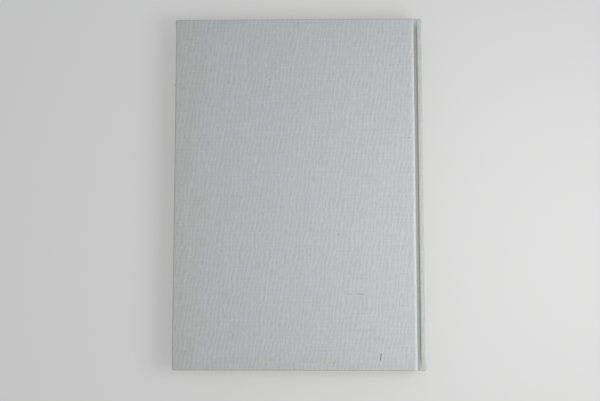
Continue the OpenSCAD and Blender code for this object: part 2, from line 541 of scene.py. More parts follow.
def mark_group() -> None:
    """Build a mark along a straight stroke: 1 on it, 0 past its soft edge."""
    g, given, made = new_group(
        "mark",
        {"Vector": ORIGIN, "Start": ORIGIN, "End": ORIGIN, "Half Width": 0.3 * MM, "Soft": 0.3 * MM},
        ("Mask",),
    )
    along = g.vector("SUBTRACT", given["End"], given["Start"])
    out = g.vector("SUBTRACT", given["Vector"], given["Start"])
    share = g.math("DIVIDE", g.vector("DOT_PRODUCT", out, along), g.vector("DOT_PRODUCT", along, along),
                   clamp=True)
    gap = g.vector("LENGTH", g.vector("SUBTRACT", out, g.scale(along, share)))
    edge = g.math("ADD", given["Half Width"], given["Soft"])
    g.link(g.ramp(gap, (given["Half Width"], edge), (1.0, 0.0)), made["Mask"])


def fibres_group() -> None:
    """Build paper's and board's short fibres and soft clouds."""
    g, given, made = new_group("fibres", {"Vector": ORIGIN, "Scale": 1.0}, ("Fine", "Cloud"))
    fibre_scale, cloud_scale = 2600.0, 45.0
    place = g.scale(given["Vector"], given["Scale"])
    g.link(g.noise(place, fibre_scale, detail=4.0, rough=0.65), made["Fine"])
    g.link(g.noise(place, cloud_scale, detail=3.0), made["Cloud"])


def build_groups() -> None:
    """Build every shared effect once."""
    for build in (plain_weave_group, streaks_group, mark_group, fibres_group):
        build()


# Finishes


def new_material(name: str, roughness: float,
                 specular: float) -> tuple[bpy.types.Material, Graph, bpy.types.Node]:
    """Start a material on a Principled shader.

    Args:
        name: The material's name.
        roughness: The shader's roughness.
        specular: The shader's specular level.

    Returns:
        The material, its graph and its shader.
    """
    material = bpy.data.materials.new(name)
    material.use_nodes = True
    graph = Graph(material.node_tree)
    shader = material.node_tree.nodes["Principled BSDF"]
    shader.inputs["Roughness"].default_value = roughness
    shader.inputs["Specular IOR Level"].default_value = specular
    return material, graph, shader


def object_place(graph: Graph) -> Socket:
    """Give the point's place on the object, in metres."""
    return graph.add("ShaderNodeTexCoord").outputs["Object"]


def flat_place(graph: Graph) -> Socket:
    """Give the point's place on the piece's own flat map, in metres."""
    return graph.add("ShaderNodeUVMap", uv_map=FLAT_MAP).outputs["UV"]


def relief(graph: Graph, shader: bpy.types.Node, height: object, depth: float) -> None:
    """Feed a height through a Bump node into a shader's normal.

    Args:
        graph: The material's graph.
        shader: The shader.
        height: The height, from 0 to 1.
        depth: What 1 stands for, in metres.
    """
    bump = graph.add("ShaderNodeBump")
    bump.inputs["Strength"].default_value = 1.0
    bump.inputs["Distance"].default_value = depth
    graph.link(height, bump.inputs["Height"])
    graph.link(bump.outputs["Normal"], shader.inputs["Normal"])


@dataclass(frozen=True)
class Stroke:
    """A small mark on a cover, placed in metres on the row frame."""

    start: Span
    end: Span
    half_width: float
    soft: float
    strength: float


@dataclass(frozen=True)
class BookCloth:
    """A grey plain-woven book cloth, a little toned at its edges.

    The spans of the joint's painted shade and grime are measured from where the groove's floor begins,
    those of the worn line with its painted highlight from the board's edge, and the span where they fade
    from the head.
    """

    name: str
    strokes: tuple[Stroke, ...] = ()
    colour: Colour = (0.468, 0.476, 0.481)
    toned: Colour = (0.46, 0.456, 0.444)
    joint_dirt: Colour = (0.52, 0.495, 0.42)
    # painted shade: the dark colour laid in the groove's hollow, where the ridge shades it
    joint_shade: Colour = (0.325, 0.328, 0.326)
    # painted highlight, partly wear: the lighter colour along the lit board's edge beside the groove
    rubbed_highlight: Colour = (0.56, 0.57, 0.575)
    ink: Colour = (0.115, 0.118, 0.112)
    warp_pitch: float = 0.497 * MM
    weft_pitch: float = 0.455 * MM
    thread_depth: float = 0.05 * MM
    thread_swell: float = 0.8
    thread_shade: float = 0.25
    lit_span: Span = (0.2, 0.9)
    lit_shades: Span = (0.86, 1.03)
    streak_shade: float = 0.25
    lean: float = 8.0
    cross_shade: float = 0.06
    cross_period: float = 2.4 * MM
    cross_length: float = 12 * MM
    cloud_shade: float = 0.04
    cloud_scale: float = 160.0
    fore_toning: Span = (2 * MM, 30 * MM)
    fore_worn: float = 0.9
    tail_toning: Span = (0.0, 14 * MM)
    tail_worn: float = 0.8
    toning_drift: float = 30 * MM
    toning_scale: float = 28.0
    joint_begin: Span = (-1.2 * MM, 0.8 * MM)
    joint_end: Span = (2.8 * MM, 5.2 * MM)
    past_joint: float = 0.1
    dirt_begin: Span = (1.7 * MM, 3.2 * MM)
    # Spans of the painted highlight, partly wear, measured from the board's edge.
    rub_highlight_begin: Span = (-1.8 * MM, -0.8 * MM)
    rub_highlight_end: Span = (0.8 * MM, 2.0 * MM)
    # Near the head the groove's painted shade, its grime and the edge's painted highlight fade.
    head_fade: Span = (-4 * MM, -2 * MM)
    head_share: float = 0.4
    mark_drift: float = 0.7 * MM
    mark_scale: float = 1300.0
    raised_span: Span = (0.25, 0.8)
    raised_shares: Span = (0.35, 1.0)
    blot_scale: float = 2400.0
    blot_span: Span = (0.3, 0.6)
    blot_shares: Span = (0.55, 1.15)

    def build(self, sizes: Sizes) -> bpy.types.Material:
        """Build the material.

        Args:
            sizes: The book's sizes, which place the toning.

        Returns:
            The material, which reads the cloth's own map.
        """
        material, g, shader = new_material(self.name, roughness=0.88, specular=0.2)
        flat = flat_place(g)
        weave = use_group(g, "plain_weave", Vector=flat, Warp_Pitch=self.warp_pitch,
                          Weft_Pitch=self.weft_pitch)
        height, thickness = weave.outputs["Height"], weave.outputs["Thickness"]
        shade = g.grey(self._shade(g, flat, height, thickness))
        colour = g.mix(1.0, self._toning(g, flat, sizes), shade, "MULTIPLY")
        g.link(self._mark(g, flat, height, colour), shader.inputs["Base Color"])
        shader.inputs["Sheen Weight"].default_value = 0.08
        shader.inputs["Sheen Roughness"].default_value = 0.6
        relief(g, shader, g.varied(height, thickness, self.thread_swell), self.thread_depth)
        return material

    def _toning(self, g: Graph, flat: Socket, sizes: Sizes) -> Socket:
        """Warm the fore edge and tail, where hands and air reach it; paint shade, grime and a highlight by
        the joint.
        """
        across, y, _ = g.axes(flat)
        off_spine = g.math("ABSOLUTE", g.math("SUBTRACT", across, sizes.spine_line))
        x = g.math("SUBTRACT", sizes.spine_line, off_spine)
        drift = g.noise(flat, self.toning_scale, detail=3.0)
        from_fore = g.varied(g.math("SUBTRACT", x, sizes.cover[0].x), drift, self.toning_drift)
        from_tail = g.varied(g.math("SUBTRACT", y, sizes.cover[0].y), drift, self.toning_drift)
        worn = g.math("MAXIMUM", g.ramp(from_fore, self.fore_toning, (self.fore_worn, 0.0)),
                      g.ramp(from_tail, self.tail_toning, (self.tail_worn, 0.0)))
        tone = g.mix(worn, self.colour, self.toned)
        joint = sizes.edge + (sizes.top - sizes.floor)
        off_head = g.past(y, sizes.cover[1].y, self.head_fade, (1.0, self.head_share))
        # The mask below lays painted shade, with warm grime past it, into the groove.
        groove_mask = g.math("MULTIPLY", g.past(x, joint, self.joint_begin),
                         g.past(x, joint, self.joint_end, (1.0, self.past_joint)))
        # The colour below: painted shade in the groove's near half, warm grime towards the ridge.
        shade_and_dirt = g.mix(g.past(x, joint, self.dirt_begin), self.joint_shade, self.joint_dirt)
        tone = g.mix(g.math("MULTIPLY", groove_mask, off_head), tone, shade_and_dirt)
        # A painted highlight, partly wear, along the board's edge beside the groove.
        rub_highlight = g.math("MULTIPLY", g.past(x, sizes.edge, self.rub_highlight_begin),
                     g.past(x, sizes.edge, self.rub_highlight_end, (1.0, 0.0)))
        return g.mix(g.math("MULTIPLY", rub_highlight, off_head), tone, self.rubbed_highlight)

    def _shade(self, g: Graph, flat: Socket, height: Socket, thickness: Socket) -> Socket:
        """Give the light and dark of single threads and of the streaks they lie in."""
        streaks = use_group(g, "streaks", Vector=flat, Lean=math.radians(self.lean))
        cross = use_group(g, "streaks", Vector=flat, Period=self.cross_period, Length=self.cross_length,
                          Lean=math.radians(90.0))
        shade = g.varied(1.0, g.noise(flat, self.cloud_scale), self.cloud_shade)
        shade = g.varied(shade, streaks.outputs["Shade"], self.streak_shade)
        shade = g.varied(shade, cross.outputs["Shade"], self.cross_shade)
        shade = g.varied(shade, thickness, self.thread_shade)
        return g.math("MULTIPLY", shade, g.ramp(height, self.lit_span, self.lit_shades))

    def _mark(self, g: Graph, flat: Socket, height: Socket, colour: Socket) -> Socket:
        """Lay the specks and scuffs over a colour, broken up by the threads."""
        shaken = g.shaken(flat, self.mark_scale, self.mark_drift)
        taken = g.math("MULTIPLY", g.ramp(height, self.raised_span, self.raised_shares),
                       g.ramp(g.noise(flat, self.blot_scale), self.blot_span, self.blot_shares))
        for stroke in self.strokes:
            mark = use_group(g, "mark", Vector=shaken, Start=(*stroke.start, 0.0),
                             End=(*stroke.end, 0.0), Half_Width=stroke.half_width, Soft=stroke.soft)
            inked = g.math("MULTIPLY", mark.outputs["Mask"], taken)
            share = g.math("MULTIPLY", inked, stroke.strength, clamp=True)
            colour = g.mix(share, colour, self.ink)
        return colour


@dataclass(frozen=True)
class Paper:
    """Uncoated paper or board, with fibres and a faint cloudiness."""

    name: str
    colour: Colour
    deep: Colour
    grain: float = 1.0
    depth: float = 0.01 * MM
    fibre_share: float = 0.75
    cloud_share: float = 0.25
    mottle: Span = (0.3, 0.8)

    def build(self) -> bpy.types.Material:
        """Build the material."""
        material, g, shader = new_material(self.name, roughness=0.85, specular=0.25)
        fibres = use_group(g, "fibres", Vector=self._place(g), Scale=self.grain)
        fine, cloud = fibres.outputs["Fine"], fibres.outputs["Cloud"]
        clouded = g.math("MULTIPLY", cloud, self.cloud_share)
        share = g.math("MULTIPLY_ADD", fine, self.fibre_share, clouded)
        colour = g.mix(g.ramp(share, self.mottle), self.colour, self.deep)
        g.link(self._age(g, colour, cloud), shader.inputs["Base Color"])
        relief(g, shader, fine, self.depth)
        return material

    def _place(self, g: Graph) -> Socket:
        """Give the place that the fibres follow."""
        return object_place(g)

    def _age(self, g: Graph, colour: Socket, cloud: Socket) -> Socket:
        """Leave the colour as it is, because board and lining lie hidden from air."""
        return colour


@dataclass(frozen=True)
class EndPaper(Paper):
    """Paper that reads its piece's own map and has yellowed from its fore edge, head and tail."""

    aged: Colour = (0.585, 0.55, 0.47)
    aged_share: float = 0.6
    fore: float = 0.0
    end: float = 0.0
    band: float = 16 * MM

    def _place(self, g: Graph) -> Socket:
        """Give the place on the flat sheet."""
        return flat_place(g)

    def _age(self, g: Graph, colour: Socket, cloud: Socket) -> Socket:
        """Yellow the sheet towards the edges that air reaches."""
        x, y, _ = g.axes(self._place(g))
        from_end = g.math("SUBTRACT", self.end, g.math("ABSOLUTE", y))
        nearest = g.math("MINIMUM", from_end, g.math("SUBTRACT", x, self.fore))
        ragged = g.varied(nearest, cloud, self.band)
        return g.mix(g.ramp(ragged, (0.0, self.band), (self.aged_share, 0.0)), colour, self.aged)


@dataclass(frozen=True)
class LeafEdges:
    """The trimmed edges of many leaves, in fine uneven lines and wider bands of leaves."""

    name: str = "page_edges"
    colour: Colour = (0.80, 0.765, 0.68)
    # painted shade: the darker colour of the lines between leaves, where they part
    gap: Colour = (0.50, 0.455, 0.37)
    leaf: float = 0.1 * MM
    line_scale: float = 14.0
    line_share: float = 0.85
    band: float = 0.8 * MM
    band_scale: float = 6.0
    band_share: float = 0.25
    gap_span: Span = (0.72, 0.36)
    depth: float = 0.03 * MM

    def build(self) -> bpy.types.Material:
        """Build the material."""
        material, g, shader = new_material(self.name, roughness=0.9, specular=0.2)
        place = object_place(g)
        lines = g.grain(place, (self.line_scale, self.line_scale, 1.0 / self.leaf))
        bands = g.grain(place, (self.band_scale, self.band_scale, 1.0 / self.band))
        lined = g.math("MULTIPLY", lines, self.line_share)
        share = g.math("MULTIPLY_ADD", bands, self.band_share, lined)
        g.link(g.mix(g.ramp(share, self.gap_span), self.colour, self.gap), shader.inputs["Base Color"])
        relief(g, shader, lines, self.depth)
        return material


@dataclass(frozen=True)
class WovenTape:
    """A coarse cotton weave, as on gauze and headband tape."""

    name: str
    colour: Colour
    pitch: float
    gap_shade: float = 0.45
    gap_span: Span = (0.15, 0.6)
    depth: float = 0.08 * MM

    def build(self) -> bpy.types.Material:
        """Build the material."""
        material, g, shader = new_material(self.name, roughness=0.9, specular=0.2)
        weave = use_group(g, "plain_weave", Vector=flat_place(g), Warp_Pitch=self.pitch,
                          Weft_Pitch=self.pitch)
        height = weave.outputs["Height"]
        dark = shaded(self.colour, self.gap_shade)
        g.link(g.mix(g.ramp(height, self.gap_span), dark, self.colour), shader.inputs["Base Color"])
        relief(g, shader, height, self.depth)
        return material


@dataclass(frozen=True)
class WoundThread:
    """Cotton thread wound over a headband's core."""

    name: str
    colour: Colour
    fibre_shade: float = 0.6
    fibre_scales: Triple = (3000.0, 3000.0, 9000.0)
    fibre_span: Span = (0.3, 0.7)
    depth: float = 0.02 * MM

    def build(self) -> bpy.types.Material:
        """Build the material."""
        material, g, shader = new_material(self.name, roughness=0.7, specular=0.35)
        fibre = g.grain(object_place(g), self.fibre_scales)
        deep = shaded(self.colour, self.fibre_shade)
        g.link(g.mix(g.ramp(fibre, self.fibre_span), deep, self.colour), shader.inputs["Base Color"])
        relief(g, shader, fibre, self.depth)
        return material


# Pieces


class Piece(ABC):
    """Something that the book is made of, with its own way to be built."""

    @abstractmethod
    def build(self) -> bpy.types.Object:
        """Build the piece and give it its finish; some pieces are also hung on the frame."""


@dataclass
class CoverCloth(Piece):
    """The covering cloth of one cover, its joint and half of the spine, as one folded sheet."""

    sizes: Sizes
    side: Side
    finish: bpy.types.Material
    arris: float = 0.75 * MM
    spine_arris: float = 1.25 * MM
    fore_corner: float = 1.3 * MM
    low_arris: float = 0.33 * MM
    edge_fillet: float = 1.0 * MM
    ridge_fillet: float = 0.9 * MM
    ridge_outer: float = 0.8 * MM
    ridge_inner: float = 0.65 * MM
    ridge_swell: float = 0.3 * MM
    cap_corner: float = 1.5 * MM
    mitre_gap: float = 0.15 * MM
    fill_thickness: float = 0.97
    unevenness: float = 0.05 * MM
    uneven_scale: float = 45.0
    uneven_seed: float = 7.0
    ragged: float = 0.2 * MM
    ragged_scales: Span = (350.0, 90.0)
    tail_flare: float = 0.7 * MM
    head_flare: float = 0.2 * MM
    tail_reach: float = 10 * MM
    corner_flare: float = 0.5 * MM
    corner_reach: Span = (7 * MM, 9 * MM)
    edge_bulge: float = 0.45 * MM
    bulge_reach: float = 4 * MM
    ridge_lean: float = 0.65 * MM
    lean_reach: float = 2 * MM
    slope_fill: float = 0.55
    foot_fill: float = 0.15
    fill_fall: float = 1.3
    head_close: float = 0.92
    head_reach: float = 3.4 * MM
    tail_close: float = 0.8
    tail_stop: float = 0.6 * MM
    end_margin: float = 2.5 * MM
    turn_in_rows: int = 4
    rows: int = 40
    columns: int = 28
    joint_columns: int = 18

    def build(self) -> bpy.types.Object:
        """Fold, round and dress the cloth.

        Returns:
            The finished piece.
        """
        s = self.sizes
        low, high = s.cover
        name = f"{self.side.word}_covering_cloth"
        piece = box_block(name, low.copy(), Vector((high.x, high.y, s.floor)))
        with editing(piece):
            self._fold(piece)
        self._weigh_folds(piece)
        apply(piece, "BEVEL", limit_method="WEIGHT", width=self.cap_corner, segments=4, profile=0.5,
              loop_slide=False)
        with editing(piece):
            self._cut_rows()
            self._open_inside(piece)
            self._mitre(piece)
        self._map_cloth(piece)
        heights = [vertex.co.z for vertex in piece.data.vertices]
        self._settle(piece)
        self._keep_threads_even(piece, heights)
        thicken(piece, s.cloth * self.fill_thickness)
        if self.side is Side.FRONT:
            turn_over(piece, s.middle)
        surface(piece, self.finish)
        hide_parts(f"{self.side.word}_cover_cloth", "spine_cloth")
        bend_in_joint(piece)
        return piece

    @property
    def wall(self) -> float:
        """Where the ridge's wall stands beside the groove."""
        return self.sizes.ridge - self.ridge_swell

    def _flat_size(self) -> Span:
        """Give the width and length that the cloth was cut to, turn-ins included."""
        s = self.sizes
        low, high = s.cover
        walls = (high.z - low.z) + (high.z - s.floor) + (s.spine[1].z - s.floor)
        width = s.turn_in + walls + (s.spine[1].x - low.x) + (s.spine[1].z - s.middle)
        return width, (high.y - low.y) + 2 * (high.z - low.z) + 2 * s.turn_in

    def _fold(self, piece: bpy.types.Object) -> None:
        """Draw the closed shape that the cloth wraps: cover, joint, ridge and half of the spine."""
        s = self.sizes
        low, high = s.cover
        x0, x1, top = self.wall, s.spine[1].x, s.spine[1].z
        pick(piece, lambda p: at(p, z=s.floor))
        extrude(z=high.z - s.floor)
        pick(piece, lambda p: at(p, x=high.x) and within(p, z=(low.z, s.floor)))
        extrude(x=x0 - high.x)
        extrude(x=x1 - x0)
        pick(piece, lambda p: at(p, z=s.floor) and within(p, x=(x0, x1)))
        extrude(z=top - s.floor)
        pick(piece, lambda p: at(p, z=low.z) and within(p, x=(x0, x1)))
        extrude(z=s.middle - low.z)

    def _weigh_folds(self, piece: bpy.types.Object) -> None:
        """Mark each fold with the share of the largest radius that rounds it."""
        s = self.sizes
        low, high = s.cover
        x0, x1, top = self.wall, s.spine[1].x, s.spine[1].z

        def at_end(p: list[Vector]) -> bool:
            """Tell whether the points lie on the head's or the tail's end."""
            return at(p, y=low.y) or at(p, y=high.y)

        def upright(p: list[Vector]) -> bool:
            """Tell whether the edge stands upright."""
            return abs(p[0].x - p[1].x) < NEAR and abs(p[0].y - p[1].y) < NEAR

        radii: list[tuple[float, Test]] = [
            (self.arris, lambda p: at(p, z=high.z) and (at(p, x=low.x) or at_end(p))),
            (self.spine_arris, lambda p: at(p, z=high.z, x=high.x)),
            (self.fore_corner, lambda p: at(p, x=low.x) and upright(p)),
            (self.arris, lambda p: at(p, x=high.x) and upright(p) and within(p, z=(s.floor, high.z))),
            (self.low_arris, lambda p: at(p, z=low.z) and (at(p, x=low.x) or at_end(p))),
            (self.low_arris, lambda p: at(p, z=s.floor) and at_end(p) and within(p, x=(high.x, x0))),
            (self.edge_fillet, lambda p: at(p, z=s.floor, x=high.x)),
            (self.ridge_fillet, lambda p: at(p, z=s.floor, x=x0)),
            (self.ridge_inner, lambda p: at(p, x=x0) and upright(p) and within(p, z=(s.floor, top))),
            (self.low_arris, lambda p: at(p, x=x0) and upright(p) and within(p, z=(s.middle, low.z))),
            (self.ridge_inner, lambda p: at(p, z=top, x=x0)),
            (self.ridge_outer, lambda p: at(p, z=top) and (at(p, x=x1) or at_end(p))),
            (self.cap_corner, lambda p: at(p, x=x1) and upright(p)),
        ]
        mesh = piece.data
        weights = mesh.attributes.new("bevel_weight_edge", "FLOAT", "EDGE")
        for edge in mesh.edges:
            points = [mesh.vertices[i].co for i in edge.vertices]
            for radius, test in radii:
                if test(points):
                    weights.data[edge.index].value = radius / self.cap_corner

    def _cut_rows(self) -> None:
        """Cut the cloth across, so that it can settle and bend."""
        s = self.sizes
        low, high = s.cover
        tail, head = low.y + s.turn_in, high.y - s.turn_in
        cut("y", *stations(low.y + self.end_margin, tail, self.turn_in_rows))
        cut("y", *stations(tail, head, self.rows)[1:-1])
        cut("y", *stations(head, high.y - self.end_margin, self.turn_in_rows))
        fore = low.x + s.turn_in
        cut("x", *stations(low.x + self.end_margin, fore, self.turn_in_rows))
        cut("x", *stations(fore, high.x - self.end_margin, self.columns)[1:])
        cut("x", *stations(s.edge, s.shoulder, self.joint_columns))

    def _open_inside(self, piece: bpy.types.Object) -> None:
        """Take away what isn't cloth, which leaves the turn-ins."""
        s = self.sizes
        low, high = s.cover
        inner = (low.y + s.turn_in, high.y - s.turn_in)
        tests: list[Test] = [
            lambda p: at(p, z=low.z) and within(p, x=(low.x + s.turn_in, self.wall), y=inner),
            lambda p: at(p, x=self.wall) and within(p, z=(s.middle, low.z), y=inner),
            lambda p: at(p, z=s.middle),
        ]
        for test in tests:
            pick(piece, test)
            bpy.ops.mesh.delete(type="FACE")

    def _mitre(self, piece: bpy.types.Object) -> None:
        """Cut the turn-ins apart along each fore corner's diagonal."""
        s = self.sizes
        low, high = s.cover
        start = low.x + self.fore_corner
        reach = (low.x, low.x + s.turn_in)
        for end in (-1, 1):
            corner = Vector((low.x, end * high.y, 0))
            across = Vector((1, end, 0)).normalized()

            def off(p: Vector) -> float:
                """Give a point's distance from the diagonal."""
                return abs((Vector((p.x, p.y, 0)) - corner).dot(across))

            for step in (-0.5, 0.5):
                pick(piece, lambda p: at(p, z=low.z) and within(p, x=reach)
                     and min(end * q.y for q in p) > high.y - s.turn_in - NEAR)
                bpy.ops.mesh.bisect(plane_co=corner + across * step * self.mitre_gap, plane_no=across,
                                    threshold=WELD)
            pick(piece, lambda p: at(p, z=low.z) and min(q.x for q in p) > start - NEAR
                 and max(off(q) for q in p) < self.mitre_gap / 2 + NEAR / 4)
            bpy.ops.mesh.delete(type="FACE")

    def _map_cloth(self, piece: bpy.types.Object) -> None:
        """Lay the cloth's own flat map, in metres, over the mesh, so that it runs on over the spine."""
        mesh = piece.data
        layer = mesh.uv_layers.new(name=FLAT_MAP)
        for face in mesh.polygons:
            for i in face.loop_indices:
                x, y = self._flat_place(mesh.vertices[mesh.loops[i].vertex_index].co, face)
                layer.data[i].uv = (x if self.side is Side.BACK else 2 * self.sizes.spine_line - x, y)

    def _keep_threads_even(self, piece: bpy.types.Object, heights: list[float]) -> None:
        """Shift the map where settling has drawn an end face up or down, to keep the threads' size.

        Args:
            piece: The cloth, settled.
            heights: Each point's height before the cloth settled.
        """
        mesh = piece.data
        layer = mesh.uv_layers[FLAT_MAP]
        for face in mesh.polygons:
            n = face.normal
            if abs(n.y) < max(abs(n.x), abs(n.z)):
                continue
            end = 1 if n.y > 0 else -1
            for i in face.loop_indices:
                point = mesh.loops[i].vertex_index
                layer.data[i].uv.y -= end * (mesh.vertices[point].co.z - heights[point])

    def _flat_place(self, co: Vector, face: bpy.types.MeshPolygon) -> Span:
        """Unfold a point of the wrapped cloth.

        Args:
            co: The point.
            face: The face that it belongs to.

        Returns:
            Its place on the flat cloth: across the book from the fore edge, and along it.
        """
        s = self.sizes
        low, high = s.cover
        n, middle = face.normal, face.center
        drop, climb = high.z - s.floor, s.spine[1].z - s.floor
        end = 1 if middle.y > 0 else -1
        if middle.x < s.edge + NEAR:
            passed, roof = 0.0, high.z
        elif middle.x < self.wall - NEAR:
            passed, roof = drop, s.floor
        else:
            passed, roof = drop + climb, s.spine[1].z
        if abs(n.z) >= max(abs(n.x), abs(n.y)):
            if n.z > 0:
                return co.x + passed, co.y
            fore, side = co.x - low.x, high.y - abs(co.y)
            if fore < side:
                return low.x - (high.z - low.z) - fore, co.y
            return co.x + passed, end * (high.y + (roof - low.z) + side)
        if abs(n.y) >= abs(n.x):
            return co.x + passed, end * (high.y + roof - co.z)
        if middle.x < 0:
            return low.x - (high.z - co.z), co.y
        if middle.x < s.edge + self.arris:
            return s.edge + (high.z - co.z), co.y
        if n.x < 0:
            if co.z > s.floor - NEAR:
                return self.wall + drop + (co.z - s.floor), co.y
            return s.spine[1].x + drop + climb + roof - co.z, end * (2 * high.y - abs(co.y))
        return s.spine[1].x + passed + (roof - co.z), co.y

    def _settle(self, piece: bpy.types.Object) -> None:
        """Let the cloth lie slightly uneven, with the bumped corner and spine ends of a handled book."""
        s = self.sizes
        low, high = s.cover
        reach = s.spine[1].y / high.y - 1
        seed = self.uneven_seed * self.side.value
        for vertex in piece.data.vertices:
            co = vertex.co
            self._press_joint(co)
            onto_spine = ease(co.x, s.shoulder, self.wall + self.ridge_inner)
            co.y *= 1 + reach * onto_spine
            if co.z > high.z - NEAR:
                place = Vector((co.x * self.uneven_scale, co.y * self.uneven_scale, seed))
                co.z += self.unevenness * noise.noise(place)
            outward = max(co.x - s.shoulder, 0) / (s.spine[1].x - s.shoulder)
            co.x += outward * self.tail_flare * ease(-co.y, high.y - self.tail_reach, high.y)
            co.x += outward * self.head_flare * ease(co.y, high.y - self.tail_reach / 3, high.y)
            place = Vector((co.y * self.ragged_scales[0], co.z * self.ragged_scales[1], 0))
            co.x += outward * self.ragged * noise.noise(place)
            across, along = self.corner_reach
            bumped = ease(co.y, high.y - along, high.y) * ease(-co.x, -low.x - across, -low.x)
            co.x -= self.corner_flare * bumped

    def _press_joint(self, co: Vector) -> None:
        """Move a point of the joint to where pressing has left the cloth."""
        if self.sizes.edge - self.spine_arris < co.x < self.wall + self.ridge_inner:
            self._sink_furrow(co)
        self._swell_edge(co)

    def _sink_furrow(self, co: Vector) -> None:
        """Lean the ridge, slope the furrow down to the ridge's foot and close its ends."""
        s = self.sizes
        high = s.cover[1]
        rim = self.wall + self.ridge_inner
        share = min(max((co.x - s.edge) / (self.wall - s.edge), 0.0), 1.0)
        lowest = s.floor - self.low_arris - NEAR if co.x > s.edge + NEAR else s.floor + NEAR
        if co.z <= lowest:
            return
        roof = high.z + (s.spine[1].z - high.z) * max(co.x - s.edge, 0.0) / (rim - s.edge)
        depth = min(max((roof - co.z) / (roof - s.floor), 0.0), 1.0)
        co.x -= self.ridge_lean * depth * ease(co.x, self.wall - self.lean_reach, self.wall)
        fill = self.foot_fill + (self.slope_fill - self.foot_fill) * (1 - share) ** self.fill_fall
        head = self.head_close * ease(co.y, high.y - self.head_reach, high.y - self.head_reach / 2)
        tail = self.tail_close * ease(-co.y, high.y - self.tail_reach, high.y - self.tail_stop)
        if roof > co.z:
            co.z += (roof - co.z) * max(fill, head, tail)

    def _swell_edge(self, co: Vector) -> None:
        """Swell the cloth out from the board's edge beside the groove, and leave its turn-in alone."""
        s = self.sizes
        bulge = self.edge_bulge * ease(co.z, s.cover[0].z, s.floor)
        if co.x < s.edge:
            co.x += bulge * ease(co.x, s.edge - self.bulge_reach, s.edge)
        elif co.x < self.wall:
            co.x += bulge * (self.wall - co.x) / (self.wall - s.edge)


@dataclass
class LooseThread(Piece):
    """The frayed end of a thread that stands out of the cloth at the fore edge."""

    sizes: Sizes
    finish: bpy.types.Material
    y: float = 67.0 * MM
    below_top: float = 0.9 * MM
    hidden: float = 0.1 * MM
    thread: float = 0.16 * MM
    curl: float = 0.42 * MM
    climb: float = 0.35
    turn: float = 215.0
    steps: int = 14
    sides: int = 8
    fray: float = 0.05 * MM
    fray_scale: float = 4000.0
    fray_seed: int = 5

    def build(self) -> bpy.types.Object:
        """Curl a short end out of the fore edge.

        Returns:
            The finished piece, on the back cover.
        """
        low, high = self.sizes.cover
        root = Vector((low.x + self.hidden, self.y, high.z - self.below_top))
        bpy.ops.object.select_all(action="DESELECT")
        bpy.ops.mesh.primitive_circle_add(vertices=self.sides, radius=self.thread, location=root,
                                          rotation=(math.radians(90), 0, 0), fill_type="NGON")
        piece = fix_place("loose_thread", Vector((1, 1, 1)))
        with editing(piece):
            bpy.ops.mesh.select_all(action="SELECT")
            bpy.ops.mesh.spin(steps=self.steps, angle=math.radians(self.turn),
                              center=root - Vector((self.curl, 0, 0)), axis=(0.0, self.climb, 1.0))
            bpy.ops.mesh.select_all(action="SELECT")
            bpy.ops.mesh.remove_doubles(threshold=WELD)
            bpy.ops.mesh.normals_make_consistent(inside=False)
        noise.seed_set(self.fray_seed)
        for vertex in piece.data.vertices:
            vertex.co += self.fray * noise.noise_vector(vertex.co * self.fray_scale)
        surface(piece, self.finish, 60.0)
        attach(piece, "back_cover")
        return piece


@dataclass
class Gauze(Piece):
    """One half of the gauze: over the leaves' backs, through the joint and onto a board."""

    sizes: Sizes
    side: Side
    finish: bpy.types.Material
    joint_columns: int = 14
    rows: int = 12

    def build(self) -> bpy.types.Object:
        """Fold the gauze over the shoulder.

        Returns:
            The finished piece.
        """
        s = self.sizes
        low, high = s.flange
        back = s.gauze[1].x
        piece = box_block(f"{self.side.word}_gauze", low.copy(), Vector((back, high.y, high.z)))
        with editing(piece):
            cut("x", s.shoulder)
            pick(piece, lambda p: at(p, z=low.z) and within(p, x=(s.shoulder, back)))
            extrude(z=s.middle - low.z)
            cut("x", *stations(s.edge, s.shoulder, self.joint_columns)[:-1])
            cut("y", *stations(low.y, high.y, self.rows)[1:-1])
        flat_map(piece)
        if self.side is Side.FRONT:
            turn_over(piece, s.middle)
        surface(piece, self.finish)
        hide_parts("super", f"{self.side.word}_super_flange")
        bend_in_joint(piece)
        return piece


